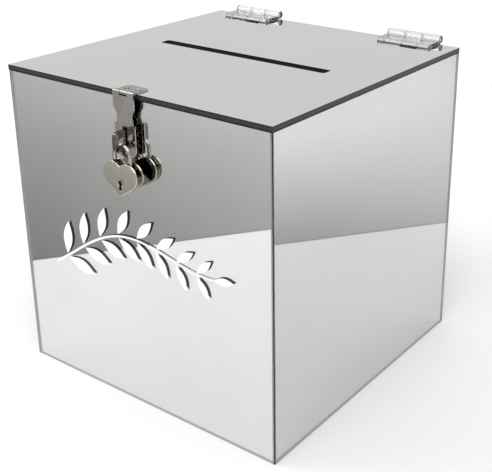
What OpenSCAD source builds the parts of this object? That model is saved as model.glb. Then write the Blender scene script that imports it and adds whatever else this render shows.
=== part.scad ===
// Wedding card box: a mirrored acrylic cube with a slotted lid on two clear hinges,
// closed at the front by a hasp, a staple and a heart padlock.
// X runs along the front face, Y runs from front to back, Z is up.
// The origin is at the centre of the base, on the surface that the box stands on.

/* [Box] */
// Width along the front face
box_w = 254; // [220:1:320]
// Depth from front to back
box_d = 252; // [220:1:320]
// Height with the lid closed
box_h = 254; // [200:1:320]
// Thickness of the mirrored wall and floor panels
wall_t = 3; // [2.5:0.5:5]
// Thickness of the lid panel
lid_t = 4; // [3:0.5:6]
// Gap between the closed lid and the walls
lid_gap = 0.3; // [0.2:0.1:0.8]
// Bevel on the outer vertical corners
arris = 0.6; // [0.2:0.1:1]

/* [Card slot] */
// Length of the slot in the lid
slot_l = 165; // [100:1:190]
// Width of the slot in the lid
slot_w = 10; // [5:0.5:20]
// Corner radius of the slot
slot_r = 2; // [0.5:0.5:2.5]

/* [Clear hinges] */
// Length of each hinge along the back edge
hinge_l = 50; // [30:1:70]
// Distance of each hinge from the middle of the back edge
hinge_x = 83; // [50:1:95]
// How far each leaf reaches from the back edge
leaf_d = 18; // [12:0.5:25]
// Thickness of each leaf
leaf_t = 2.5; // [1.5:0.1:3]
// Outer radius of the knuckles
barrel_r = 3.3; // [2.8:0.1:4]
// Radius of the hinge pin
pin_r = 1.25; // [0.8:0.05:1.6]

/* [Hasp] */
// Width of the strap and of the lid plate
hasp_w = 20; // [16:0.5:26]
// Depth of the plate that lies on the lid
lid_plate_d = 13; // [10:0.5:18]
// Thickness of the strap plate
strap_t = 1; // [0.8:0.1:1.2]
// Distance from the strap's pivot to its lower end
strap_l = 46.6; // [45:0.2:47]
// Half the width at the waist of the strap
waist_half = 7; // [5.5:0.1:8.5]
// Half the width of the slot that the staple comes through
strap_slot_half = 2.2; // [1.8:0.1:3]
// Radius of the hasp knuckles
hasp_barrel_r = 1.6; // [1.4:0.1:1.8]
// Radius of the hasp pin
hasp_pin_r = 0.6; // [0.4:0.05:0.8]

/* [Staple] */
// Distance from the top of the lid down to the middle of the staple's hole
staple_drop = 34.6; // [34:0.1:35]
// Radius of the staple's hole
staple_hole_r = 3.6; // [3.5:0.05:3.8]
// Thickness of the staple's ring
ring_t = 2.5; // [2:0.1:2.6]
// How far the ring stands out from the front panel
ring_reach = 15; // [14.5:0.1:16]

/* [Padlock] */
// Distance between the middles of the two lobes
lobe_gap = 14; // [13:0.2:15]
// Radius of each lobe
lobe_r = 9.5; // [9:0.1:10]
// Height from the tip of the heart to the middles of its lobes
heart_drop = 16; // [15:0.2:18]
// Thickness of each cover plate
plate_t = 1.2; // [0.8:0.1:1.4]
// Thickness of the case between the plates
core_t = 5.2; // [4.8:0.1:5.6]
// Radius of the shackle's wire
wire_r = 1.5; // [1.3:0.05:1.5]
// Radius of the shackle's arch, to the middle of the wire
arch_r = 7.5; // [7.2:0.1:7.8]

/* [Hidden] */
$fn = 48;
e = 0.01;
pin_gap = 0.05;
knuckle_gap = 0.3;
leaf_gap = 0.4;
wall_top = box_h - lid_t - lid_gap;
front_y = -box_d / 2;
back_y = box_d / 2;
lid_back_gap = 0.3;

hinge_pin_y = back_y + barrel_r;
hinge_pin_z = box_h + barrel_r;
knuckle_l = hinge_l / 3;
leaf_corner = 2;
pin_head_r = 2.1;
pin_head_t = 0.7;

hasp_pin_y = front_y - 0.4 - hasp_barrel_r;
hasp_pin_z = box_h + 0.2;
mid_knuckle = 7;
lid_plate_t = 0.9;
strap_face_y = hasp_pin_y - hasp_barrel_r;
strap_back_y = strap_face_y + strap_t;
strap_low_z = hasp_pin_z - strap_l;
flare_z = box_h - 22.5;
flare_half = hasp_w / 2 - 0.3;
waist_z = box_h - 18;
waist_r = 9.67;
strap_corner = 5;
strap_slot_low = box_h - 43;
strap_slot_high = box_h - 24;

screw_r = 1.25;
screw_gap = 0.05;
screw_head_r = 2.1;
screw_head_t = 1.2;
flat_head_t = 0.8;
nut_r = 2.9;
nut_t = 2;
lid_screw_x = 5.5;
lid_screw_y = front_y + 6.4;

base_half = 5.5;
base_t = 1;
base_low = box_h - 48.4;
base_high = box_h - 18.6;
staple_screw_low = box_h - 45.2;
staple_screw_high = box_h - 21.8;
ring_low = box_h - 41;
ring_high = box_h - 25.8;
ring_corner = 3.6;

staple_hole_z = box_h - staple_drop;
lock_x = 0.5;
lock_mid_y = front_y - 8.2;
wire_z = staple_hole_z - staple_hole_r + wire_r + 0.25;
arch_z = wire_z - arch_r;
lobe_z = box_h - 58;
tip_z = lobe_z - heart_drop;
core_front = lock_mid_y - core_t / 2;
core_back = lock_mid_y + core_t / 2;
lock_front = core_front - plate_t;
lock_back = core_back + plate_t;
core_inset = 0.5;
pocket_inset = 1.7;
pivot_x = lock_x + arch_r;
pivot_z = box_h - 54.5;
pivot_r = 1.15;
eye_r = 2.6;
eye_t = 3;
free_leg_x = lock_x - arch_r;
free_leg_end = box_h - 55.4;
notch_low = box_h - 54.4;
notch_high = box_h - 52.4;
notch_depth = 0.9;
side_opening = 1.9;
leg_room = 1.8;
keyhole_z = box_h - 63.8;
keyhole_r = 2;
skirt_low = box_h - 69.4;
bolt_t = 2;
works_z = pivot_z - 3.2;
bolt_travel = 1.2;
spring_r = 1;
spring_wire = 0.25;
spring_turns = 5;

vinyl_t = 0.15;
sprig_l = 166;
sprig_x = -90;
sprig_z = box_h * 0.425;
sprig_pairs = 8;

// Half the angle at the tip of the heart, between its axis and a side.
heart_side = atan(lobe_gap / 2 / heart_drop)
    + asin(lobe_r / sqrt(pow(lobe_gap / 2, 2) + pow(heart_drop, 2)));

// Shared shapes.

// A cylinder along X, centred on x, at the given y and z.
module x_rod(x, y, z, r, l) {
    translate([x - l / 2, y, z])
        rotate([0, 90, 0])
            cylinder(r = r, h = l);
}

// A cylinder along Y, from y0 to y1.
module y_rod(x, z, r, y0, y1) {
    translate([x, y1, z])
        rotate([90, 0, 0])
            cylinder(r = r, h = y1 - y0);
}

// A block from its lowest to its highest corner.
module block(low, high) {
    translate(low)
        cube(high - low);
}

// A flat shape drawn in X and Z, made solid from y1 forward to y0.
module facing(y0, y1) {
    translate([0, y1, 0])
        rotate([90, 0, 0])
            linear_extrude(y1 - y0)
                children();
}

// A wall of the given length, mitred at both ends, with its outer face on y = -reach.
module mitred_wall(length, reach, height) {
    a = length / 2;
    linear_extrude(height)
        polygon([
            [-a + arris, -reach],
            [a - arris, -reach],
            [a - arris / 2, -reach + arris / 2],
            [a - wall_t, -reach + wall_t],
            [-a + wall_t, -reach + wall_t],
            [-a + arris / 2, -reach + arris / 2]
        ]);
}

// Box.

module bottom_panel() {
    color([0.80, 0.81, 0.82])
        block([-box_w / 2 + wall_t, -box_d / 2 + wall_t, 0],
              [box_w / 2 - wall_t, box_d / 2 - wall_t, wall_t]);
}

module front_panel() {
    color([0.72, 0.73, 0.74])
        difference() {
            mitred_wall(box_w, box_d / 2, wall_top);
            for (z = [staple_screw_low, staple_screw_high])
                y_rod(0, z, screw_r + screw_gap, front_y - 1, front_y + wall_t + 1);
        }
}

module back_panel() {
    color([0.74, 0.75, 0.76])
        rotate([0, 0, 180])
            mitred_wall(box_w, box_d / 2, wall_top);
}

module right_panel() {
    color([0.78, 0.79, 0.80])
        rotate([0, 0, 90])
            mitred_wall(box_d, box_w / 2, wall_top);
}

module left_panel() {
    color([0.78, 0.79, 0.80])
        rotate([0, 0, -90])
            mitred_wall(box_d, box_w / 2, wall_top);
}

// Height of the sprig's stem at a share t of its length: a slow wave that climbs.
function stem_z(t) = sprig_z + 38 * t + 15 * sin(300 * t - 40);

// Place of the stem at a share t of its length.
function stem_at(t) = [sprig_x + sprig_l * t, stem_z(t)];

// Direction of the stem at a share t of its length, in degrees.
function stem_turn(t) =
    atan2(stem_z(t + 0.01) - stem_z(t - 0.01), 0.02 * sprig_l);

// Outline of a leaf that is l long and w wide, pointed at both ends.
function leaf_outline(l, w) = concat(
    [for (i = [0:10]) [l * i / 10, w / 2 * sin(18 * i)]],
    [for (i = [9:-1:1]) [l * i / 10, -w / 2 * sin(18 * i)]]
);

module sprig_leaf(t, side) {
    size = 30 - 13 * t;
    translate(stem_at(t))
        rotate(stem_turn(t) + side * 48)
            translate([2.2, 0])
                polygon(leaf_outline(size, size * 0.34));
}

module sprig_stem() {
    steps = 36;
    half = 1.1;
    polygon(concat(
        [for (i = [0:steps]) stem_at(i / steps) + [0, half * (1.2 - i / steps)]],
        [for (i = [steps:-1:0]) stem_at(i / steps) - [0, half * (1.2 - i / steps)]]
    ));
}

module front_sprig() {
    color([0.97, 0.97, 0.96])
        facing(front_y - vinyl_t, front_y) {
            sprig_stem();
            for (i = [1:sprig_pairs], side = [-1, 1])
                sprig_leaf((i - 0.35) / (sprig_pairs + 0.6), side);
            translate(stem_at(1) - [1, 0])
                rotate(stem_turn(1))
                    polygon(leaf_outline(18, 6));
        }
}

// Lid.

module slot_cut() {
    a = slot_l / 2 - slot_r;
    b = slot_w / 2 - slot_r;
    low = box_h - lid_t - 1;
    high = box_h + 1;
    block([-slot_l / 2, -b, low], [slot_l / 2, b, high]);
    block([-a, -slot_w / 2, low], [a, slot_w / 2, high]);
    for (x = [-a, a], y = [-b, b])
        translate([x, y, low])
            cylinder(r = slot_r, h = high - low);
}

module lid_panel() {
    color([0.82, 0.83, 0.84])
        difference() {
            block([-box_w / 2, front_y, box_h - lid_t],
                  [box_w / 2, back_y - lid_back_gap, box_h]);
            slot_cut();
            for (x = [-lid_screw_x, lid_screw_x])
                translate([x, lid_screw_y, box_h - lid_t - 1])
                    cylinder(r = screw_r + screw_gap, h = lid_t + 2);
        }
}

// Clear hinges.

module hinge_lid_leaf(x) {
    half = hinge_l / 2;
    mid = knuckle_l / 2 - knuckle_gap;
    difference() {
        union() {
            block([x - half + leaf_corner, back_y - leaf_d, box_h],
                  [x + half - leaf_corner, back_y - leaf_gap, box_h + leaf_t]);
            block([x - half, back_y - leaf_d + leaf_corner, box_h],
                  [x + half, back_y - leaf_gap, box_h + leaf_t]);
            for (s = [-1, 1])
                translate([x + s * (half - leaf_corner), back_y - leaf_d + leaf_corner, box_h])
                    cylinder(r = leaf_corner, h = leaf_t);
            block([x - mid, back_y - 2, box_h],
                  [x + mid, hinge_pin_y, box_h + leaf_t]);
            x_rod(x, hinge_pin_y, hinge_pin_z, barrel_r, 2 * mid);
        }
        x_rod(x, hinge_pin_y, hinge_pin_z, pin_r + pin_gap, hinge_l);
    }
}

module hinge_box_leaf(x) {
    half = hinge_l / 2;
    low = box_h - leaf_d;
    high = box_h - leaf_gap;
    difference() {
        union() {
            block([x - half + leaf_corner, back_y, low],
                  [x + half - leaf_corner, back_y + leaf_t, high]);
            block([x - half, back_y, low + leaf_corner],
                  [x + half, back_y + leaf_t, high]);
            for (s = [-1, 1]) {
                y_rod(x + s * (half - leaf_corner), low + leaf_corner, leaf_corner,
                      back_y, back_y + leaf_t);
                block([x + s * hinge_l / 3 - knuckle_l / 2, back_y, high - 2],
                      [x + s * hinge_l / 3 + knuckle_l / 2, back_y + leaf_t, hinge_pin_z]);
                x_rod(x + s * hinge_l / 3, hinge_pin_y, hinge_pin_z, barrel_r, knuckle_l);
            }
        }
        x_rod(x, hinge_pin_y, hinge_pin_z, pin_r + pin_gap, hinge_l + 2);
    }
}

module hinge_pin(x) {
    x_rod(x, hinge_pin_y, hinge_pin_z, pin_r, hinge_l + e);
    for (s = [-1, 1])
        x_rod(x + s * (hinge_l + pin_head_t) / 2, hinge_pin_y, hinge_pin_z,
              pin_head_r, pin_head_t);
}

module hinge_lid_leaf_left() {
    color([0.86, 0.90, 0.93])
        hinge_lid_leaf(-hinge_x);
}

module hinge_lid_leaf_right() {
    color([0.86, 0.90, 0.93])
        hinge_lid_leaf(hinge_x);
}

module hinge_box_leaf_left() {
    color([0.80, 0.86, 0.90])
        hinge_box_leaf(-hinge_x);
}

module hinge_box_leaf_right() {
    color([0.80, 0.86, 0.90])
        hinge_box_leaf(hinge_x);
}

module hinge_pin_left() {
    color([0.65, 0.70, 0.75])
        hinge_pin(-hinge_x);
}

module hinge_pin_right() {
    color([0.65, 0.70, 0.75])
        hinge_pin(hinge_x);
}

// Hasp.

module hasp_lid_plate() {
    mid = mid_knuckle / 2;
    top = box_h + lid_plate_t;
    back = front_y + lid_plate_d;
    color([0.62, 0.61, 0.60])
        difference() {
            union() {
                block([-hasp_w / 2, front_y - 0.1, box_h], [hasp_w / 2, back - 3, top]);
                block([-hasp_w / 2 + 3, back - 4, box_h], [hasp_w / 2 - 3, back, top]);
                for (s = [-1, 1])
                    translate([s * (hasp_w / 2 - 3), back - 3, box_h])
                        cylinder(r = 3, h = lid_plate_t);
                block([-mid, hasp_pin_y, box_h], [mid, front_y + 1, top]);
                x_rod(0, hasp_pin_y, hasp_pin_z, hasp_barrel_r, mid_knuckle);
            }
            x_rod(0, hasp_pin_y, hasp_pin_z, hasp_pin_r + pin_gap, hasp_w);
            for (x = [-lid_screw_x, lid_screw_x])
                translate([x, lid_screw_y, box_h - 1])
                    cylinder(r = screw_r + screw_gap, h = 3);
        }
}

module hasp_lid_screws() {
    color([0.55, 0.55, 0.55])
        for (x = [-lid_screw_x, lid_screw_x])
            translate([x, lid_screw_y, 0])
                difference() {
                    union() {
                        translate([0, 0, box_h - lid_t - nut_t - 0.4])
                            cylinder(r = screw_r, h = lid_t + lid_plate_t + nut_t + 0.6);
                        translate([0, 0, box_h + lid_plate_t])
                            cylinder(r = screw_head_r, h = screw_head_t);
                    }
                    translate([0, 0, box_h + lid_plate_t + screw_head_t])
                        cube([0.5, 5, 1], center = true);
                }
}

module hasp_lid_nuts() {
    color([0.50, 0.50, 0.50])
        for (x = [-lid_screw_x, lid_screw_x])
            translate([x, lid_screw_y, box_h - lid_t - nut_t])
                difference() {
                    cylinder(r = nut_r, h = nut_t, $fn = 6);
                    translate([0, 0, -1])
                        cylinder(r = screw_r + screw_gap, h = nut_t + 2);
                }
}

module hasp_pin() {
    color([0.70, 0.70, 0.70])
        x_rod(0, hasp_pin_y, hasp_pin_z, hasp_pin_r, hasp_w + 0.8);
}

module hasp_strap() {
    half = hasp_w / 2;
    notch = mid_knuckle / 2 + 0.3;
    color([0.46, 0.44, 0.42])
        difference() {
            union() {
                block([-half, strap_face_y, flare_z - 1], [half, strap_back_y, hasp_pin_z]);
                block([-flare_half, strap_face_y, strap_low_z + strap_corner],
                      [flare_half, strap_back_y, flare_z]);
                block([-flare_half + strap_corner, strap_face_y, strap_low_z],
                      [flare_half - strap_corner, strap_back_y, strap_low_z + strap_corner + 1]);
                for (s = [-1, 1]) {
                    y_rod(s * (flare_half - strap_corner), strap_low_z + strap_corner,
                          strap_corner, strap_face_y, strap_back_y);
                    x_rod(s * (half + notch) / 2, hasp_pin_y, hasp_pin_z,
                          hasp_barrel_r, half - notch);
                }
            }
            for (s = [-1, 1]) {
                difference() {
                    y_rod(s * (waist_half + waist_r), waist_z, waist_r,
                          strap_face_y - 1, strap_back_y + 1);
                    block([-30, strap_face_y - 2, flare_z - 10],
                          [30, strap_back_y + 2, flare_z]);
                }
            }
            block([-notch, strap_face_y - 1, hasp_pin_z - hasp_barrel_r - 0.4],
                  [notch, strap_back_y + 1, hasp_pin_z + 1]);
            block([-strap_slot_half, strap_face_y - 1, strap_slot_low],
                  [strap_slot_half, strap_back_y + 1, strap_slot_high]);
            x_rod(0, hasp_pin_y, hasp_pin_z, hasp_pin_r + pin_gap, hasp_w + 2);
        }
}

// Staple.

// The ring's outline in the plane across X: a rounded block with the shackle's hole.
module staple_ring() {
    tip_y = front_y - ring_reach;
    mid_y = tip_y + ring_corner;
    root_y = front_y - base_t / 2;
    difference() {
        union() {
            block([-ring_t / 2, mid_y, ring_low], [ring_t / 2, root_y, ring_high]);
            block([-ring_t / 2, tip_y, ring_low + ring_corner],
                  [ring_t / 2, root_y, ring_high - ring_corner]);
            for (z = [ring_low + ring_corner, ring_high - ring_corner])
                x_rod(0, mid_y, z, ring_corner, ring_t);
        }
        x_rod(0, lock_mid_y, staple_hole_z, staple_hole_r, ring_t + 2);
    }
}

module staple() {
    color([0.56, 0.55, 0.53])
        difference() {
            union() {
                block([-base_half, front_y - base_t, base_low],
                      [base_half, front_y, base_high]);
                staple_ring();
            }
            for (z = [staple_screw_low, staple_screw_high])
                y_rod(0, z, screw_r + screw_gap, front_y - 3, front_y + 1);
        }
}

module staple_screws() {
    color([0.60, 0.60, 0.60])
        for (z = [staple_screw_low, staple_screw_high]) {
            y_rod(0, z, screw_r, front_y - base_t - 0.2, front_y + wall_t + nut_t + 0.4);
            y_rod(0, z, screw_head_r, front_y - base_t - flat_head_t, front_y - base_t);
        }
}

module staple_nuts() {
    color([0.50, 0.50, 0.50])
        for (z = [staple_screw_low, staple_screw_high])
            difference() {
                translate([0, front_y + wall_t + nut_t, z])
                    rotate([90, 0, 0])
                        cylinder(r = nut_r, h = nut_t, $fn = 6);
                y_rod(0, z, screw_r + screw_gap, front_y + wall_t - 1, front_y + wall_t + nut_t + 1);
            }
}

// Padlock.

// A heart between y0 and y1, drawn smaller by inset all round.
module heart(inset, y0, y1) {
    r = lobe_r - inset;
    a = lobe_gap / 2;
    tip = tip_z + inset / sin(heart_side);
    tx = a + r * cos(heart_side);
    tz = lobe_z - r * sin(heart_side);
    for (s = [-1, 1])
        y_rod(lock_x + s * a, lobe_z, r, y0, y1);
    facing(y0, y1)
        polygon([
            [lock_x, tip],
            [lock_x + tx, tz],
            [lock_x + a, lobe_z],
            [lock_x, lobe_z + 1],
            [lock_x - a, lobe_z],
            [lock_x - tx, tz]
        ]);
}

module keyhole(y0, y1) {
    y_rod(lock_x, keyhole_z, keyhole_r, y0, y1);
    facing(y0, y1)
        polygon([
            [lock_x - 0.6, keyhole_z],
            [lock_x + 0.6, keyhole_z],
            [lock_x + 1.5, skirt_low],
            [lock_x - 1.5, skirt_low]
        ]);
}

module padlock_front_plate() {
    color([0.55, 0.54, 0.48])
        difference() {
            heart(0, lock_front, core_front);
            keyhole(lock_front - 1, core_front + 1);
        }
}

module padlock_back_plate() {
    color([0.55, 0.54, 0.48])
        union() {
            heart(0, core_back, lock_back);
            block([lock_x + 3.2, lock_mid_y - 1.2, pivot_z - 2],
                  [lock_x + 4.2, core_back + 0.2, pivot_z + 1.5]);
        }
}

module padlock_case() {
    color([0.44, 0.41, 0.36])
        difference() {
            heart(core_inset, core_front, core_back);
            heart(pocket_inset, core_front - 1, core_back + 1);
            block([free_leg_x - wire_r - 0.4, lock_mid_y - leg_room, lobe_z + 2],
                  [free_leg_x + wire_r + 1.6, lock_mid_y + leg_room, lobe_z + 12]);
            block([pivot_x - side_opening, lock_mid_y - leg_room, pivot_z - side_opening],
                  [pivot_x + 20, lock_mid_y + leg_room, pivot_z + 20]);
        }
}

module padlock_key_post() {
    color([0.70, 0.70, 0.70])
        y_rod(lock_x, keyhole_z, 0.6, core_front + 0.3, core_back);
}

module shackle_pivot() {
    color([0.72, 0.72, 0.72])
        y_rod(pivot_x, pivot_z, pivot_r, core_front, core_back);
}

module shackle() {
    color([0.60, 0.59, 0.57])
        difference() {
            union() {
                translate([lock_x, lock_mid_y, arch_z])
                    rotate([90, 0, 0])
                        rotate_extrude(angle = 180)
                            translate([arch_r, 0])
                                circle(r = wire_r);
                translate([free_leg_x, lock_mid_y, free_leg_end])
                    cylinder(r = wire_r, h = arch_z - free_leg_end);
                translate([pivot_x, lock_mid_y, pivot_z + 1])
                    cylinder(r = wire_r, h = arch_z - pivot_z - 1);
                y_rod(pivot_x, pivot_z, eye_r, lock_mid_y - eye_t / 2, lock_mid_y + eye_t / 2);
            }
            y_rod(pivot_x, pivot_z, pivot_r + pin_gap, lock_mid_y - 3, lock_mid_y + 3);
            block([free_leg_x + wire_r - notch_depth, lock_mid_y - 3, notch_low],
                  [free_leg_x + wire_r + 1, lock_mid_y + 3, notch_high]);
        }
}

module padlock_bolt() {
    y0 = lock_mid_y - bolt_t / 2;
    y1 = lock_mid_y + bolt_t / 2;
    nose = free_leg_x + wire_r - notch_depth + 0.1;
    color([0.66, 0.60, 0.42]) {
        block([nose, y0, notch_low + 0.2], [lock_x - 3.8, y1, notch_high - 0.2]);
        block([lock_x - 5, y0, works_z - 1.1], [lock_x - 3.8, y1, notch_high - 0.2]);
        block([lock_x - 5, y0, works_z - 1.1], [lock_x - 0.8, y1, works_z + 1.1]);
        block([lock_x - 3.6, y0, works_z - 5], [lock_x - 2.4, y1, works_z]);
    }
}

// Rings that stand for the turns of the bolt's spring.
module padlock_spring() {
    color([0.75, 0.75, 0.75])
        for (i = [0:spring_turns - 1])
            translate([lock_x - 0.5 + i * 0.55, lock_mid_y, works_z])
                rotate([0, 90, 0])
                    rotate_extrude($fn = 24)
                        translate([spring_r - spring_wire, 0])
                            circle(r = spring_wire, $fn = 16);
}

bottom_panel();
front_panel();
back_panel();
left_panel();
right_panel();
front_sprig();
lid_panel();
hinge_lid_leaf_left();
hinge_lid_leaf_right();
hinge_box_leaf_left();
hinge_box_leaf_right();
hinge_pin_left();
hinge_pin_right();
hasp_lid_plate();
hasp_lid_screws();
hasp_lid_nuts();
hasp_pin();
hasp_strap();
staple();
staple_screws();
staple_nuts();
shackle();
shackle_pivot();
padlock_front_plate();
padlock_case();
padlock_back_plate();
padlock_key_post();
padlock_bolt();
padlock_spring();
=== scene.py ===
import math

import bmesh
import bpy
import numpy as np
from mathutils import Matrix, Vector


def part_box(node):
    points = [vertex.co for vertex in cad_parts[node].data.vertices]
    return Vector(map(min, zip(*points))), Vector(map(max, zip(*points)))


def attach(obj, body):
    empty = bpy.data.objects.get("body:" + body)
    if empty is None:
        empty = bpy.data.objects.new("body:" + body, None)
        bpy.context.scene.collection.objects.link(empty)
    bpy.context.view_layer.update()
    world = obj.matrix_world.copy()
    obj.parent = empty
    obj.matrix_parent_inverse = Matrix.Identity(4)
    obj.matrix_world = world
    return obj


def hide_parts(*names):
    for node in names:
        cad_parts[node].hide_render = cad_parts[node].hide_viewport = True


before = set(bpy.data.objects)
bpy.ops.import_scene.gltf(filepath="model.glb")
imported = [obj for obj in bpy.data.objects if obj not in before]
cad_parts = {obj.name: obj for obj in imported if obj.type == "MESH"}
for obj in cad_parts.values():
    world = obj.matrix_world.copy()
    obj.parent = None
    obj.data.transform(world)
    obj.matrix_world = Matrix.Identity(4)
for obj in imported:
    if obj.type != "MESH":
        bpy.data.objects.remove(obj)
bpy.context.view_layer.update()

# Sizes that several pieces share, read from the frame, in metres.
lidLow, lidHigh = (np.array(corner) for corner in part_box("lid_panel"))
frontLow, frontHigh = (np.array(corner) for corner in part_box("front_panel"))
wallT = float(frontHigh[1] - frontLow[1])
lidMiddle = float(lidLow[2] + lidHigh[2]) / 2

# Tolerances for cleaning up node meshes, in metres and degrees, and the gap under clear leaves.
meshRules = {"weld": 1e-6, "flat": 0.4, "sharp": 28, "near": 1e-5, "leafGap": 0.00006}


# Skins a grid of points: each row is one closed ring and the rows follow each other.
# With loop the last row joins the first, otherwise both end rings are capped.
def ringMesh(name, points, loop=False):
    rows, count = points.shape[:2]
    index = np.arange(rows * count).reshape(rows, count)
    here = index if loop else index[:-1]
    after = np.roll(index, -1, axis=0) if loop else index[1:]
    faces = np.stack([here, np.roll(here, -1, axis=1), np.roll(after, -1, axis=1), after], axis=-1)
    faces = faces.reshape(-1, 4).tolist()
    if not loop:
        faces += [index[0][::-1].tolist(), index[-1].tolist()]
    mesh = bpy.data.meshes.new(name)
    mesh.from_pydata(points.reshape(-1, 3).tolist(), [], faces)
    work = bmesh.new()
    work.from_mesh(mesh)
    bmesh.ops.recalc_face_normals(work, faces=work.faces)
    work.to_mesh(mesh)
    work.free()
    return mesh


# Several closed meshes as one.
def gathered(name, meshes):
    work = bmesh.new()
    for mesh in meshes:
        work.from_mesh(mesh)
    out = bpy.data.meshes.new(name)
    work.to_mesh(out)
    work.free()
    return out


# Puts a finished mesh in the scene, on its body, with its finishes and the nodes it stands for.
def addPiece(name, mesh, looks, body, replaced=(), sharpAngle=35):
    for look in looks:
        mesh.materials.append(look)
    mesh.polygons.foreach_set("use_smooth", np.ones(len(mesh.polygons), bool))
    mesh.update()
    mesh.set_sharp_from_angle(angle=math.radians(sharpAngle))
    obj = bpy.data.objects.new(name, mesh)
    bpy.context.scene.collection.objects.link(obj)
    even = obj.modifiers.new("evenShading", "WEIGHTED_NORMAL")
    even.keep_sharp = True
    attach(obj, body)
    if replaced:
        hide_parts(*replaced)
    return obj


# A copy of a node's mesh with its loose triangles merged into whole faces.
def mergedCopy(nodeName):
    work = bmesh.new()
    work.from_mesh(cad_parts[nodeName].data)
    bmesh.ops.remove_doubles(work, verts=work.verts, dist=meshRules["weld"])
    bmesh.ops.dissolve_limit(work, angle_limit=math.radians(meshRules["flat"]),
                             verts=work.verts, edges=work.edges)
    return work


# Rounds over every edge that turns by more than the sharp angle.
def bevelled(work, width, steps):
    edges = [edge for edge in work.edges
             if edge.is_manifold and edge.calc_face_angle(0) > math.radians(meshRules["sharp"])]
    bmesh.ops.bevel(work, geom=edges, offset=width, offset_type="OFFSET", segments=steps,
                    profile=0.5, affect="EDGES", clamp_overlap=True)


# A node's own shape with its sharp edges rounded over by width. With lifted, an (axis, height)
# pair, the face at that height stands a hair off what it rests on, as clear plastic does.
def softened(nodeName, pieceName, look, body, width, steps=2, lifted=None):
    work = mergedCopy(nodeName)
    if lifted:
        axis, height = lifted
        for vert in work.verts:
            if abs(vert.co[axis] - height) < meshRules["near"]:
                vert.co[axis] += meshRules["leafGap"]
    bevelled(work, width, steps)
    mesh = bpy.data.meshes.new(pieceName)
    work.to_mesh(mesh)
    work.free()
    return addPiece(pieceName, mesh, [look], body, [nodeName])


# Material helpers. Each returns the output that the next node takes.
def makeGroup(name, inputs, outputs):
    group = bpy.data.node_groups.new(name, "ShaderNodeTree")
    for label, kind, value in inputs:
        socket = group.interface.new_socket(label, in_out="INPUT", socket_type=kind)
        if value is not None:
            socket.default_value = value
    for label in outputs:
        group.interface.new_socket(label, in_out="OUTPUT", socket_type="NodeSocketFloat")
    return group, group.nodes.new("NodeGroupInput"), group.nodes.new("NodeGroupOutput")


def mathNode(tree, kind, a, b=None):
    node = tree.nodes.new("ShaderNodeMath")
    node.operation = kind
    for place, value in ((0, a), (1, b)):
        if isinstance(value, (int, float)):
            node.inputs[place].default_value = value
        elif value is not None:
            tree.links.new(value, node.inputs[place])
    return node.outputs[0]


# Rises smoothly from 0 at low to 1 at high.
def stepUp(tree, value, low, high):
    node = tree.nodes.new("ShaderNodeMapRange")
    node.interpolation_type = "SMOOTHSTEP"
    node.inputs["From Min"].default_value = low
    node.inputs["From Max"].default_value = high
    tree.links.new(value, node.inputs["Value"])
    return node.outputs["Result"]


# Carries a 0 to 1 mask to the range from low to high.
def ranged(tree, value, low, high):
    node = tree.nodes.new("ShaderNodeMapRange")
    node.inputs["To Min"].default_value = low
    node.inputs["To Max"].default_value = high
    tree.links.new(value, node.inputs["Value"])
    return node.outputs["Result"]


def mixColor(tree, factor, a, b):
    node = tree.nodes.new("ShaderNodeMix")
    node.data_type = "RGBA"
    colorInputs = [socket for socket in node.inputs if socket.type == "RGBA"]
    tree.links.new(factor, node.inputs[0])
    for socket, value in zip(colorInputs, (a, b)):
        if isinstance(value, tuple):
            socket.default_value = value + (1,)
        else:
            tree.links.new(value, socket)
    return next(socket for socket in node.outputs if socket.type == "RGBA")


def noise(tree, vector, scale, detail=4, stretch=(1, 1, 1)):
    mapping = tree.nodes.new("ShaderNodeMapping")
    mapping.inputs["Scale"].default_value = stretch
    tree.links.new(vector, mapping.inputs["Vector"])
    node = tree.nodes.new("ShaderNodeTexNoise")
    node.inputs["Detail"].default_value = detail
    if isinstance(scale, (int, float)):
        node.inputs["Scale"].default_value = scale
    else:
        tree.links.new(scale, node.inputs["Scale"])
    tree.links.new(mapping.outputs["Vector"], node.inputs["Vector"])
    return node.outputs["Fac"]


# Handling marks: cloudy smears with fine straight scratches over them.
def handlingMarks():
    group, source, target = makeGroup("handlingMarks", [
        ("Vector", "NodeSocketVector", None),
        ("Smear Size", "NodeSocketFloat", 20.0),
        ("Scratch Size", "NodeSocketFloat", 200.0),
        ("Scratch Amount", "NodeSocketFloat", 0.5)], ["Mask", "Height"])
    vector = source.outputs["Vector"]
    smear = stepUp(group, noise(group, vector, source.outputs["Smear Size"], 5), 0.45, 0.75)
    fine = source.outputs["Scratch Size"]
    along = stepUp(group, noise(group, vector, fine, 2, (1, 1, 0.06)), 0.60, 0.72)
    across = stepUp(group, noise(group, vector, fine, 2, (0.06, 1, 1)), 0.62, 0.74)
    scratch = mathNode(group, "MULTIPLY", mathNode(group, "MAXIMUM", along, across),
                       source.outputs["Scratch Amount"])
    group.links.new(mathNode(group, "MAXIMUM", smear, scratch), target.inputs["Mask"])
    group.links.new(scratch, target.inputs["Height"])
    return group


marksGroup = handlingMarks()

# How large the smears and scratches are on each finish, how strong the scratches show, and the
# strength and depth of the relief that they leave. Clouding is the size of a metal's dull areas.
marksLook = {
    "film": {"smears": 9.0, "scratches": 160.0, "amount": 0.3, "waves": 5.0, "relief": 0.05},
    "metal": {"smears": 160.0, "scratches": 2600.0, "amount": 0.8, "clouding": 90.0,
              "relief": 0.12, "depth": 0.00002},
    "clear": {"amount": 0.5, "depth": 0.00002},
    "matte": {"depth": 0.00004},
}


def newMaterial(name):
    material = bpy.data.materials.new(name)
    material.use_nodes = True
    tree = material.node_tree
    return material, tree, tree.nodes["Principled BSDF"], tree.nodes.new(
        "ShaderNodeTexCoord").outputs["Object"]


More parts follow.
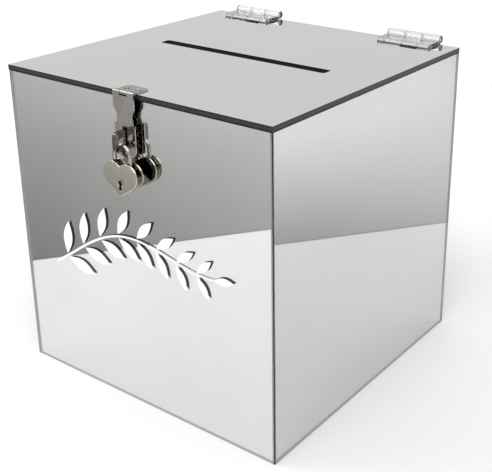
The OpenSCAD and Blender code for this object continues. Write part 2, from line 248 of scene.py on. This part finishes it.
def addMarks(tree, where, smearSize, scratchSize, scratchAmount):
    node = tree.nodes.new("ShaderNodeGroup")
    node.node_tree = marksGroup
    node.inputs["Smear Size"].default_value = smearSize
    node.inputs["Scratch Size"].default_value = scratchSize
    node.inputs["Scratch Amount"].default_value = scratchAmount
    tree.links.new(where, node.inputs["Vector"])
    return node.outputs["Mask"], node.outputs["Height"]


def bumpFrom(tree, shader, height, strength, distance):
    bump = tree.nodes.new("ShaderNodeBump")
    bump.inputs["Strength"].default_value = strength
    bump.inputs["Distance"].default_value = distance
    tree.links.new(height, bump.inputs["Height"])
    tree.links.new(bump.outputs["Normal"], shader.inputs["Normal"])


# Metal film: bright with faint clouds, and a very slow wave like rolled sheet has.
def silverMaterial(name, look):
    material, tree, shader, where = newMaterial(name)
    marks = marksLook["film"]
    mask = addMarks(tree, where, marks["smears"], marks["scratches"], marks["amount"])[0]
    tree.links.new(mixColor(tree, mask, look["tone"], look["cloud"]), shader.inputs["Base Color"])
    tree.links.new(ranged(tree, mask, *look["roughness"]), shader.inputs["Roughness"])
    shader.inputs["Metallic"].default_value = 1.0
    waves = noise(tree, where, marks["waves"], 1)
    bumpFrom(tree, shader, waves, marks["relief"], look["wave"])
    return material


# Polished plate or wire with smears and hairline scratches.
def metalMaterial(name, look):
    material, tree, shader, where = newMaterial(name)
    marks = marksLook["metal"]
    mask, height = addMarks(tree, where, marks["smears"], marks["scratches"], marks["amount"])
    clouding = stepUp(tree, noise(tree, where, marks["clouding"], 3), 0.5, 0.8)
    mask = mathNode(tree, "MAXIMUM", mask, clouding)
    tree.links.new(mixColor(tree, mask, look["bright"], look["dull"]), shader.inputs["Base Color"])
    tree.links.new(ranged(tree, mask, *look["roughness"]), shader.inputs["Roughness"])
    shader.inputs["Metallic"].default_value = 1.0
    bumpFrom(tree, shader, height, marks["relief"], marks["depth"])
    return material


# Clear cast acrylic with faint smears and scratches.
def clearMaterial(name, look):
    material, tree, shader, where = newMaterial(name)
    marks = marksLook["clear"]
    mask, height = addMarks(tree, where, look["smears"], look["scratches"], marks["amount"])
    tree.links.new(mixColor(tree, mask, look["tint"], look["worn"]), shader.inputs["Base Color"])
    tree.links.new(ranged(tree, mask, *look["roughness"]), shader.inputs["Roughness"])
    shader.inputs["Transmission Weight"].default_value = 1.0
    shader.inputs["IOR"].default_value = 1.49
    bumpFrom(tree, shader, height, look["bump"], marks["depth"])
    return material


# Cut edge of the sheet: dark and glossy, with the saw's fine upright lines, and painted shade
# toward its rims.
def edgeMaterial(name, look):
    material, tree, shader, where = newMaterial(name)
    lines = noise(tree, where, look["sawLines"], 2, (1, 1, 0.05))
    split = tree.nodes.new("ShaderNodeSeparateXYZ")
    tree.links.new(where, split.inputs[0])
    # Painted shade: the tone darkens away from the lid's mid-height, giving dark bands along the
    # top and bottom of the lid's edge, where its arris and the gap beneath look dark. The walls'
    # edges, far from that height, take the darker rim tone throughout.
    fromMiddle = mathNode(tree, "ABSOLUTE", mathNode(tree, "SUBTRACT", split.outputs[2],
                                                     lidMiddle))
    rim = stepUp(tree, fromMiddle, *look["shadedRimFrom"])
    tone = mixColor(tree, rim, look["core"], look["rim"])
    tree.links.new(mixColor(tree, stepUp(tree, lines, 0.45, 0.7), tone, look["line"]),
                   shader.inputs["Base Color"])
    tree.links.new(ranged(tree, lines, *look["roughness"]), shader.inputs["Roughness"])
    bumpFrom(tree, shader, lines, look["relief"], look["depth"])
    shader.inputs["Specular IOR Level"].default_value = look["shine"]
    return material


# Film or paint that isn't shiny: a soft tone with a fine grain.
def matteMaterial(name, look):
    material, tree, shader, where = newMaterial(name)
    grain = noise(tree, where, look["grain"], 3)
    cloud = noise(tree, where, look["cloudSize"], 3)
    tree.links.new(mixColor(tree, cloud, look["tone"], look["cloud"]), shader.inputs["Base Color"])
    tree.links.new(ranged(tree, grain, *look["roughness"]), shader.inputs["Roughness"])
    bumpFrom(tree, shader, grain, look["bump"], marksLook["matte"]["depth"])
    shader.inputs["Specular IOR Level"].default_value = look["shine"]
    return material


# Painted shade: a card on the floor whose tone changes away from the box's axis and towards the
# viewer, a shaded floor for the mirror walls to reflect.
def shadeCardMaterial(name, look):
    material, tree, shader, where = newMaterial(name)
    split = tree.nodes.new("ShaderNodeSeparateXYZ")
    tree.links.new(where, split.inputs[0])
    outward, toward = split.outputs[0], split.outputs[1]
    tone = mathNode(tree, "ADD", look["tone"], mathNode(
        tree, "MULTIPLY", outward, look["outward"]))
    slope = mathNode(tree, "ADD", look["toward"], mathNode(
        tree, "MULTIPLY", outward, look["twist"]))
    tone = mathNode(tree, "ADD", tone, mathNode(tree, "MULTIPLY", toward, slope))
    tone = mathNode(tree, "ADD", tone, mathNode(tree, "MULTIPLY", mathNode(
        tree, "SUBTRACT", noise(tree, where, look["mottle"], 3), 0.5), look["mottling"]))
    tone = mathNode(tree, "MINIMUM", mathNode(tree, "MAXIMUM", tone, look["least"]), look["most"])
    wide = abs(look["across"][1] - look["across"][0])
    near, far = -look["along"][0], look["along"][1]
    fade = stepUp(tree, outward, wide - look["fade"], wide)
    fade = mathNode(tree, "MAXIMUM", fade, stepUp(tree, toward, near - look["fade"], near))
    fade = mathNode(tree, "MAXIMUM", fade, stepUp(tree, mathNode(
        tree, "MULTIPLY", toward, -1.0), far - look["fade"], far))
    tone = mathNode(tree, "MAXIMUM", tone, mathNode(
        tree, "MULTIPLY", fade, matteLook["floor"]["tone"][0]))
    mix = mixColor(tree, tone, (0.0, 0.0, 0.0), (1.0, 1.0, 0.99))
    tree.links.new(mix, shader.inputs["Base Color"])
    shader.inputs["Roughness"].default_value = 0.9
    shader.inputs["Specular IOR Level"].default_value = 0.0
    return material


# Film tones for each face. The side walls' film is a darker copy of the front's: painted shade for
# the side walls' dimmer look.
silverLook = {
    "front": {"tone": (0.755, 0.76, 0.755), "cloud": (0.73, 0.735, 0.73),
              "roughness": (0.008, 0.03), "wave": 0.0004},
    "side": {"tone": (0.665, 0.67, 0.665), "cloud": (0.645, 0.65, 0.645),
             "roughness": (0.008, 0.03), "wave": 0.0004},
    "lid": {"tone": (0.84, 0.84, 0.835), "cloud": (0.815, 0.815, 0.81),
            "roughness": (0.015, 0.06), "wave": 0.0004},
}
clearLook = {
    "sheet": {"tint": (0.985, 0.99, 0.985), "worn": (0.97, 0.975, 0.97),
              "roughness": (0.0, 0.02), "smears": 14.0, "scratches": 260.0, "bump": 0.02},
    "hinge": {"tint": (0.985, 0.995, 0.995), "worn": (0.96, 0.97, 0.97),
              "roughness": (0.02, 0.12), "smears": 120.0, "scratches": 1500.0, "bump": 0.15},
    "pin": {"tint": (0.99, 0.995, 0.995), "worn": (0.97, 0.98, 0.98),
            "roughness": (0.01, 0.08), "smears": 200.0, "scratches": 1800.0, "bump": 0.1},
}
edgeLook = {"core": (0.034, 0.034, 0.036), "rim": (0.006, 0.006, 0.007),
            "line": (0.018, 0.018, 0.019), "roughness": (0.12, 0.30), "shine": 0.3,
            "sawLines": 900.0, "shadedRimFrom": (0.0006, 0.0016), "relief": 0.15, "depth": 0.00003}
metalLook = {
    "hasp": {"bright": (0.43, 0.41, 0.39), "dull": (0.35, 0.33, 0.31), "roughness": (0.05, 0.16)},
    # Painted shade: the staple's nickel is toned far darker than the hasp's, standing for the dark
    # reflections it shows between the strap and the mirror wall.
    "staple": {"bright": (0.15, 0.143, 0.137), "dull": (0.10, 0.095, 0.09),
               "roughness": (0.04, 0.12)},
    "heart": {"bright": (0.62, 0.595, 0.50), "dull": (0.54, 0.515, 0.43),
              "roughness": (0.08, 0.20)},
    "case": {"bright": (0.15, 0.13, 0.11), "dull": (0.09, 0.08, 0.07), "roughness": (0.12, 0.3)},
    "steel": {"bright": (0.58, 0.58, 0.57), "dull": (0.44, 0.44, 0.43), "roughness": (0.10, 0.3)},
    "brass": {"bright": (0.66, 0.50, 0.24), "dull": (0.48, 0.36, 0.18), "roughness": (0.2, 0.4)},
}
matteLook = {
    "vinyl": {"tone": (0.96, 0.96, 0.955), "cloud": (0.93, 0.93, 0.925), "grain": 1800.0,
              "cloudSize": 40.0, "roughness": (0.35, 0.5), "bump": 0.15, "shine": 0.4},
    "backPaint": {"tone": (0.32, 0.32, 0.33), "cloud": (0.27, 0.27, 0.28), "grain": 900.0,
                  "cloudSize": 14.0, "roughness": (0.45, 0.65), "bump": 0.2, "shine": 0.3},
    # The mitre is pale like a frosted saw cut, and its tone is also set near that of the
    # reflections beside the corners: partly painted reflection.
    "mitre": {"tone": (0.62, 0.62, 0.61), "cloud": (0.50, 0.50, 0.49), "grain": 1200.0,
              "cloudSize": 60.0, "roughness": (0.5, 0.8), "bump": 0.2, "shine": 0.2},
    "floor": {"tone": (0.93, 0.93, 0.93), "cloud": (0.91, 0.91, 0.91), "grain": 400.0,
              "cloudSize": 1.5, "roughness": (0.75, 0.9), "bump": 0.03, "shine": 0.05},
}

silverFront, shadedSilverSide, silverLid = (
    silverMaterial(name, silverLook[key])
    for name, key in (("silverFront", "front"), ("shadedSilverSide", "side"), ("silverLid", "lid")))
clearSheet, clearHinge, clearPin = (
    clearMaterial(name, clearLook[key])
    for name, key in (("clearSheet", "sheet"), ("clearHinge", "hinge"), ("clearPin", "pin")))
cutEdge = edgeMaterial("cutEdge", edgeLook)
haspNickel, shadedStapleNickel, heartNickel, caseMetal, steel, brass = (
    metalMaterial(name, metalLook[key])
    for name, key in (("haspNickel", "hasp"), ("shadedStapleNickel", "staple"),
                      ("heartNickel", "heart"), ("caseMetal", "case"),
                      ("platedSteel", "steel"), ("brassWorks", "brass")))
vinyl, backPaint, sawnMitreAndReflection, paleFloor = (
    matteMaterial(name, matteLook[key])
    for name, key in (("whiteVinyl", "vinyl"), ("backPaint", "backPaint"),
                      ("sawnMitreAndReflection", "mitre"), ("paleFloor", "floor")))
print("materials made")


# Silvered sheets. Each wall is clear sheet with metal film on its back, then a coat of paint.
sheet = {"filmDepth": 0.00283, "paintDepth": 0.00286, "edgeBreak": 0.00018, "lidBreak": 0.00025,
         "standOff": 0.00012}


# Moves every point deeper than half the sheet to one depth below the outer face.
def setDepth(work, out, face, limit, depth):
    for vert in work.verts:
        below = face - vert.co.dot(out)
        if below > limit:
            vert.co -= out * (depth - below)


# The clear sheet: outer face clear, film behind, cut edges dark.
def silveredWall(nodeName, pieceName, out, silver):
    out = Vector(out)
    work = mergedCopy(nodeName)
    face = max(vert.co.dot(out) for vert in work.verts)
    setDepth(work, out, face, wallT / 2, sheet["filmDepth"])
    for vert in work.verts:
        vert.co.z = max(vert.co.z, sheet["standOff"])
    rim = [edge for edge in work.edges if edge.is_manifold
           and all(face - vert.co.dot(out) < meshRules["near"] for vert in edge.verts)
           and abs((edge.verts[0].co - edge.verts[1].co).z) < meshRules["near"]
           and edge.calc_face_angle(0) > 0.5 and edge.calc_length() > 0.02
           and (out.x or edge.verts[0].co.z > 0.1)]
    bmesh.ops.bevel(work, geom=rim, offset=sheet["edgeBreak"], offset_type="OFFSET", segments=1,
                    profile=0.5, affect="EDGES", clamp_overlap=True)
    work.normal_update()
    for poly in work.faces:
        turned = poly.normal.dot(out)
        if turned > 0.95:
            poly.material_index = 0
        elif turned < -0.95 or (poly.normal.z < -0.9 and turned < 0.1):
            poly.material_index = 1
        elif turned < -0.2:
            poly.material_index = 3
        else:
            poly.material_index = 2
    mesh = bpy.data.meshes.new(pieceName)
    work.to_mesh(mesh)
    work.free()
    return addPiece(pieceName, mesh, [clearSheet, silver, cutEdge, sawnMitreAndReflection], "box",
                    [nodeName])


# The paint behind the film, as thin as a coat, with its own slightly uneven back.
def paintedBack(nodeName, pieceName, out):
    out = Vector(out)
    work = mergedCopy(nodeName)
    face = max(vert.co.dot(out) for vert in work.verts)
    along = 0 if out.y else 1
    for vert in work.verts:
        inward = sheet["paintDepth"] - (face - vert.co.dot(out))
        if inward > wallT / 2 - 0.0002:
            vert.co -= out * inward
            if abs(vert.co[along]) > 0.1:
                vert.co[along] -= math.copysign(inward, vert.co[along])
    mesh = bpy.data.meshes.new(pieceName)
    work.to_mesh(mesh)
    work.free()
    return addPiece(pieceName, mesh, [backPaint], "box")


walls = {
    "front": ((0, -1, 0), silverFront),
    "back": ((0, 1, 0), silverFront),
    "left": ((-1, 0, 0), shadedSilverSide),
    "right": ((1, 0, 0), shadedSilverSide),
}
for side, (out, silver) in walls.items():
    silveredWall(side + "_panel", side + "Sheet", out, silver)
    paintedBack(side + "_panel", side + "Paint", out)


# The floor sheet and the lid: film on the outside, paint inside, dark cut edges.
def facedSheet(nodeName, pieceName, out, silver, body, edgeBreak):
    out = Vector(out)
    work = mergedCopy(nodeName)
    face = max(vert.co.dot(out) for vert in work.verts)
    rim = [edge for edge in work.edges if edge.is_manifold
           and all(face - vert.co.dot(out) < meshRules["near"] for vert in edge.verts)
           and edge.calc_face_angle(0) > 0.5]
    bmesh.ops.bevel(work, geom=rim, offset=edgeBreak, offset_type="OFFSET", segments=2,
                    profile=0.5, affect="EDGES", clamp_overlap=True)
    work.normal_update()
    for poly in work.faces:
        turned = poly.normal.dot(out)
        poly.material_index = 0 if turned > 0.95 else 1 if turned < -0.95 else 2
    mesh = bpy.data.meshes.new(pieceName)
    work.to_mesh(mesh)
    work.free()
    return addPiece(pieceName, mesh, [silver, backPaint, cutEdge], body, [nodeName])


facedSheet("bottom_panel", "bottomSheet", (0, 0, -1), silverFront, "box",
           sheet["edgeBreak"])
facedSheet("lid_panel", "lidSheet", (0, 0, 1), silverLid, "lid",
           sheet["lidBreak"])
print("silvered sheets made")


# Clear hinges on the back edge, and their clear pins.
hingeLook = {"leafRound": 0.00035, "pinRound": 0.00025, "steps": 3}
for side in ("left", "right"):
    for leaf, lifted in (("lid", (2, float(lidHigh[2]))), ("box", (1, -float(frontLow[1])))):
        softened(f"hinge_{leaf}_leaf_{side}", f"{leaf}Leaf{side.capitalize()}", clearHinge, leaf,
                 hingeLook["leafRound"], hingeLook["steps"], lifted)
    softened(f"hinge_pin_{side}", f"hingePin{side.capitalize()}", clearPin, "box",
             hingeLook["pinRound"])

# Hasp, staple and shackle keep their shapes and get rounded edges.
haspParts = {
    "hasp_lid_plate": ("haspLidPlate", haspNickel, "lid", "nickel_plate", 0.00018),
    "hasp_lid_nuts": ("haspLidNuts", steel, "lid", "screw_steel", 0.00025),
    "hasp_pin": ("haspPin", steel, "lid", "screw_steel", 0.00018),
    "hasp_strap": ("haspStrap", haspNickel, "strap", "nickel_plate", 0.00020),
    "staple": ("stapleRing", shadedStapleNickel, "box", "nickel_plate", 0.00025),
    "staple_nuts": ("stapleNuts", steel, "box", "screw_steel", 0.00025),
    "shackle": ("lockShackle", haspNickel, "shackle", "nickel_plate", 0.00025),
    "shackle_pivot": ("shacklePivot", steel, "shackle", "screw_steel", 0.00015),
    "padlock_case": ("lockCase", caseMetal, "padlock", "case_nickel", 0.00015),
    "padlock_bolt": ("lockBolt", brass, "bolt", "brass_works", 0.00012),
}
for nodeName, (pieceName, look, body, slotName, width) in haspParts.items():
    softened(nodeName, pieceName, look, body, width)
print("hinges and hasp made")


# Screws: a shallow dome with a cross pressed into it, and a threaded shank.
screwLook = {
    "crossHalf": 0.00022, "crossReach": 0.0013, "crossDepth": 0.00055, "crossSharp": 9e3,
    "pitch": 0.0005, "threadDepth": 0.00018, "headRadius": 0.0021, "shankRadius": 0.00122,
    "rimDrop": 0.00012, "neck": 0.0004, "tip": 0.0003, "columns": 96,
}


# Height at radius r and turn a is a parabola that falls to the rim, less the cross:
# the cross is deepest on the two lines through the middle and fades at its ends.
def screwMesh(origin, axis, headHeight, length, dome):
    headRadius, shankRadius = screwLook["headRadius"], screwLook["shankRadius"]
    side = np.array([1.0, 0, 0])
    other = np.cross(axis, side)
    turn = np.linspace(0, 2 * math.pi, screwLook["columns"], endpoint=False)[None]
    r = np.concatenate([np.linspace(0.02, 0.72, 26), np.linspace(0.76, 0.97, 7)])[:, None]
    r = r * headRadius
    top = headHeight - dome * (r / headRadius) ** 2 + 0 * turn
    u, v = np.abs(r * np.cos(turn)), np.abs(r * np.sin(turn))
    sharp = screwLook["crossSharp"]
    fade = 1 / (1 + np.exp(4 * sharp * (np.minimum(u, v) - screwLook["crossHalf"])))
    ends = 1 / (1 + np.exp(sharp * (np.maximum(u, v) - screwLook["crossReach"])))
    top = top - screwLook["crossDepth"] * fade * ends
    threadRows = int(length / screwLook["pitch"] * 2)
    down = np.linspace(-screwLook["neck"], -length, threadRows)
    ridge = shankRadius - screwLook["threadDepth"] * (np.arange(threadRows) % 2)
    sideR = [headRadius, headRadius, headRadius * 0.97, shankRadius]
    sideZ = [headHeight - dome - screwLook["rimDrop"], 0.0001, 0.0, 0.0]
    rowR = np.concatenate([sideR, ridge, [shankRadius * 0.5]])
    rowZ = np.concatenate([sideZ, down, [-length - screwLook["tip"]]])
    radius = np.concatenate([r + 0 * turn, rowR[:, None] + 0 * turn])
    height = np.concatenate([top, rowZ[:, None] + 0 * turn])
    points = (np.array(origin) + height[..., None] * axis
              + (radius * np.cos(turn))[..., None] * side
              + (radius * np.sin(turn))[..., None] * other)
    return ringMesh("screw", points)


# Two screws at the ends of a node's box, spread along the given axis.
def screwPair(nodeName, pieceName, axis, body, headHeight, dome, spreadAxis):
    low, high = (np.array(corner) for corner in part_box(nodeName))
    axis = np.array(axis, float)
    middle = (low + high) / 2
    outerEnd = np.where(axis > 0, high, np.where(axis < 0, low, middle))
    seat = outerEnd - axis * headHeight
    length = float(np.abs((high - low) @ axis)) - headHeight - screwLook["tip"]
    spread = (high - low) / 2 - screwLook["headRadius"]
    spread = np.where(np.arange(3) == spreadAxis, spread, 0)
    meshes = [screwMesh(seat + s * spread, axis, headHeight, length, dome) for s in (-1, 1)]
    addPiece(pieceName, gathered(pieceName, meshes), [steel], body, [nodeName])


screwPair("hasp_lid_screws", "haspLidScrews", (0, 0, 1), "lid", 0.0012, 0.00045, 0)
screwPair("staple_screws", "stapleScrews", (0, -1, 0), "box", 0.0008, 0.0003, 2)
print("screws made")


# Padlock covers: heart plates with rounded rims, the front one with a keyhole.
heartLook = {
    "middleX": 0.0005, "lobeApart": 0.014, "lobeRadius": 0.0095, "tipDrop": 0.016,
    "keyRadius": 0.0020, "keyDrop": 0.0058, "skirtDrop": 0.0056, "thick": 0.0012,
    "stop": {"x": (0.0037, 0.0047), "rise": (0.0175, 0.0210)},
    "rimRound": 0.0004, "crown": 0.00012, "columns": 240,
    "skirtHalf": 0.00058, "skirtLean": (0.987, 0.161), "holeRound": 0.00016,
}


# Distance from the keyhole's middle to the heart's rim in each direction: the far side of
# the lobe circle, or the straight side below it, which touches the lobe and meets the tip.
def heartRim(turn, inset):
    half = heartLook["lobeApart"] / 2
    up = heartLook["keyDrop"]
    radius = heartLook["lobeRadius"] - inset
    dx, dz = np.abs(np.cos(turn)), np.sin(turn)
    along = half * dx + up * dz
    onLobe = along + np.sqrt(along ** 2 - half ** 2 - up ** 2 + radius ** 2)
    far = math.hypot(half, heartLook["tipDrop"])
    lean = math.atan(half / heartLook["tipDrop"]) + math.asin(heartLook["lobeRadius"] / far)
    nx, nz = math.cos(lean), -math.sin(lean)
    facing = dx * nx + dz * nz
    onSide = (radius + half * nx + up * nz) / np.maximum(facing, 1e-6)
    touch = math.atan2(up + radius * nz, half + radius * nx)
    return np.where(np.arctan2(dz, dx) < touch, onSide, onLobe)


# Distance to the keyhole's rim: a circle, or the skirt below it that widens downward.
def keyRim(turn, grow):
    dx, dz = np.abs(np.cos(turn)), np.sin(turn)
    leanX, leanZ = heartLook["skirtLean"]
    skirtSide = heartLook["skirtHalf"] / np.maximum(dx * leanX + dz * leanZ, 1e-6)
    skirtEnd = heartLook["skirtDrop"] / np.maximum(-dz, 1e-6)
    skirt = np.where(dz < 0, np.minimum(skirtSide, skirtEnd), 0)
    return np.maximum(heartLook["keyRadius"], skirt) + grow


# The stop inside the back cover, a post with softly squared sides: each side coordinate is
# the half width times the cosine or sine of the turn raised to a small power.
def postMesh(xSpan, zSpan, ySpan):
    turn = np.linspace(0, 2 * math.pi, 32, endpoint=False)
    square = lambda wave: np.sign(wave) * np.abs(wave) ** 0.35
    grow = np.array([0.85, 1, 1])[:, None]
    y = np.array([ySpan[0], ySpan[0] + 0.00015, ySpan[1]])[:, None] + 0 * turn
    x = sum(xSpan) / 2 + grow * (xSpan[1] - xSpan[0]) / 2 * square(np.cos(turn))
    z = sum(zSpan) / 2 + grow * (zSpan[1] - zSpan[0]) / 2 * square(np.sin(turn))
    return ringMesh("stopPost", np.stack([x, y, z], axis=-1))


# Rows run from the keyhole out over the crowned face, round the rim and back underneath.
# The face falls away from the middle by the crown times the square of the share of the way.
def heartPlate(nodeName, pieceName, outward, keyhole):
    low, high = (np.array(corner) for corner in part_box(nodeName))
    centreZ = float(low[2]) + heartLook["tipDrop"] - heartLook["keyDrop"]
    face = low[1] if outward < 0 else high[1]
    turn = -math.pi / 2 + np.linspace(0, 2 * math.pi, heartLook["columns"], endpoint=False)
    soft, crown = heartLook["rimRound"], heartLook["crown"]
    hole = (lambda grow: keyRim(turn, grow)) if keyhole else (lambda grow: turn * 0 + 0.00005)
    edge = heartLook["holeRound"]
    inside, rimInside = hole(edge), heartRim(turn, soft)
    depth = heartLook["thick"]
    rows = [(hole(0), depth), (hole(0), edge), (hole(0.00005), 0.00005)] if keyhole else []
    for share in (0, 0.2, 0.4, 0.6, 0.8, 1):
        rows.append((inside + (rimInside - inside) * share, crown * share ** 2))
    for lean in np.radians((30, 60, 90)):
        rows.append((heartRim(turn, soft * (1 - math.sin(lean))),
                     crown + soft * (1 - math.cos(lean))))
    rows += [(heartRim(turn, 0), depth - 0.0001), (heartRim(turn, 0.0001), depth)]
    if not keyhole:
        rows.append((turn * 0 + 0.00005, depth))
    radius = np.array([row[0] for row in rows])
    down = np.array([row[1] for row in rows])[:, None] + 0 * radius
    points = np.stack([heartLook["middleX"] + radius * np.cos(turn), face - outward * down,
                       centreZ + radius * np.sin(turn)], axis=-1)
    mesh = ringMesh(pieceName, points, loop=keyhole)
    if not keyhole:
        stop = heartLook["stop"]
        inner = face - depth + 0.0001
        post = postMesh(stop["x"], [float(low[2]) + rise for rise in stop["rise"]],
                        (low[1], inner))
        mesh = gathered(pieceName, [mesh, post])
    return addPiece(pieceName, mesh, [heartNickel], "padlock", [nodeName],
                    sharpAngle=40)


heartPlate("padlock_front_plate", "heartFront", -1, True)
heartPlate("padlock_back_plate", "heartBack", 1, False)


springLook = {"wire": 0.00022, "turns": 5, "steps": 200, "ringPoints": 10}


# The bolt's spring: a round wire whose middle follows a helix along the bolt.
def springMesh():
    low, high = (np.array(corner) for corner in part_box("padlock_spring"))
    middle, reach = (low + high) / 2, (high[2] - low[2]) / 2
    wire = springLook["wire"]
    share = np.linspace(0, 1, springLook["steps"])[:, None]
    turn = share * springLook["turns"] * 2 * math.pi
    ring = np.linspace(0, 2 * math.pi, springLook["ringPoints"], endpoint=False)[None]
    radius = reach - wire + wire * np.cos(ring)
    x = low[0] + wire + share * (high[0] - low[0] - 2 * wire) + wire * np.sin(ring)
    points = np.stack([x, middle[1] + radius * np.cos(turn), middle[2] + radius * np.sin(turn)],
                      axis=-1)
    return ringMesh("lockSpring", points)


addPiece("lockSpring", springMesh(), [steel], "bolt", ["padlock_spring"])
print("padlock made")

# Nodes that keep their own shape.
for nodeName, look in {"front_sprig": vinyl, "padlock_key_post": steel}.items():
    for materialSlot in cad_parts[nodeName].material_slots:
        materialSlot.material = look


# Camera at the viewing angle, and the stage.
cameraLook = {"azimuth": 36.28, "elevation": 20.92, "place": (0.46718, -0.57033, 0.44130),
              "lens": 69.9, "shift": (-0.0911, -0.1404)}


def makeCamera():
    data = bpy.data.cameras.new("camera")
    camera = bpy.data.objects.new("camera", data)
    bpy.context.scene.collection.objects.link(camera)
    turn, fall = math.radians(cameraLook["azimuth"]), math.radians(cameraLook["elevation"])
    ahead = Vector((-math.sin(turn) * math.cos(fall), math.cos(turn) * math.cos(fall),
                    -math.sin(fall)))
    camera.matrix_world = (Matrix.Translation(cameraLook["place"])
                           @ ahead.to_track_quat("-Z", "Y").to_matrix().to_4x4())
    data.sensor_width = 36
    data.lens = cameraLook["lens"]
    data.shift_x, data.shift_y = cameraLook["shift"]
    data.clip_start = 0.01
    bpy.context.scene.camera = camera


makeCamera()

# Painted shade: the cards are grey sheets, darkest near the box, standing for a shaded floor
# beside the box for the mirror walls to reflect.
# Cards lie on the floor beside the camera's line of sight. Their spans are distances across
# that line and along it, in metres, and their tones are shares of white.
stageLook = {
    "floorSide": 4.0, "cardHeight": 0.0006,
    "worldTone": 0.80, "worldStrength": 0.86,
    "sunTurn": (0.45, -0.75, 1.15), "sunStrength": 1.6, "sunAngle": 60,
    "lampPlace": (-1.15, -0.75, 1.55), "lampSide": 0.7, "lampPower": 7.0,
}
shadeCardLook = {
    "left": {"across": (-0.357, -1.65), "along": (-1.25, 0.55), "tone": 0.215, "outward": 0.26,
             "toward": 0.64, "twist": 0.0, "least": 0.15, "most": 0.92, "fade": 0.35,
             "mottle": 3.0, "mottling": 0.05},
    "right": {"across": (0.372, 1.55), "along": (-0.65, 0.95), "tone": 0.50, "outward": 1.35,
              "toward": -0.5, "twist": 2.5, "least": 0.3, "most": 0.93, "fade": 0.35,
              "mottle": 3.0, "mottling": 0.05},
}


# Card corners are (outward, toward) on the card's own axes, which start at its inner edge.
def makeCard(name, look):
    turn = math.radians(cameraLook["azimuth"])
    inner, outer = look["across"]
    out = math.copysign(1, outer - inner)
    right = Vector((math.cos(turn), math.sin(turn), 0))
    toward = Vector((math.sin(turn), -math.cos(turn), 0))
    near, far = -look["along"][0], -look["along"][1]
    wide = abs(outer - inner)
    mesh = bpy.data.meshes.new(name)
    corners = [(0, near, 0), (wide, near, 0), (wide, far, 0), (0, far, 0)]
    mesh.from_pydata(corners, [], [(0, 1, 2, 3)])
    mesh.materials.append(shadeCardMaterial(name + "Tone", look))
    card = bpy.data.objects.new(name, mesh)
    bpy.context.scene.collection.objects.link(card)
    place = Matrix((right * out, toward, Vector((0, 0, 1)))).transposed().to_4x4()
    place.translation = right * inner + Vector((0, 0, stageLook["cardHeight"]))
    card.matrix_world = place


def makeStage():
    side = stageLook["floorSide"]
    mesh = bpy.data.meshes.new("floor")
    mesh.from_pydata([(-side, -side, 0), (side, -side, 0), (side, side, 0), (-side, side, 0)],
                     [], [(0, 1, 2, 3)])
    mesh.materials.append(paleFloor)
    floor = bpy.data.objects.new("floor", mesh)
    bpy.context.scene.collection.objects.link(floor)
    for name, look in shadeCardLook.items():
        makeCard(name + "Card", look)
    world = bpy.data.worlds.new("studio")
    world.use_nodes = True
    shade = world.node_tree.nodes["Background"]
    shade.inputs["Color"].default_value = (stageLook["worldTone"],) * 3 + (1,)
    shade.inputs["Strength"].default_value = stageLook["worldStrength"]
    bpy.context.scene.world = world
    data = bpy.data.lights.new("softSun", "SUN")
    data.energy = stageLook["sunStrength"]
    data.angle = math.radians(stageLook["sunAngle"])
    lamp = bpy.data.objects.new("softSun", data)
    bpy.context.scene.collection.objects.link(lamp)
    lamp.matrix_world = Vector(stageLook["sunTurn"]).to_track_quat("Z", "Y").to_matrix().to_4x4()
    data = bpy.data.lights.new("softLamp", "AREA")
    data.energy = stageLook["lampPower"]
    data.size = stageLook["lampSide"]
    lamp = bpy.data.objects.new("softLamp", data)
    bpy.context.scene.collection.objects.link(lamp)
    place = Vector(stageLook["lampPlace"])
    lamp.matrix_world = (Matrix.Translation(place)
                         @ place.to_track_quat("Z", "Y").to_matrix().to_4x4())


makeStage()
bpy.context.scene.view_settings.view_transform = "Standard"
print("camera and stage made")
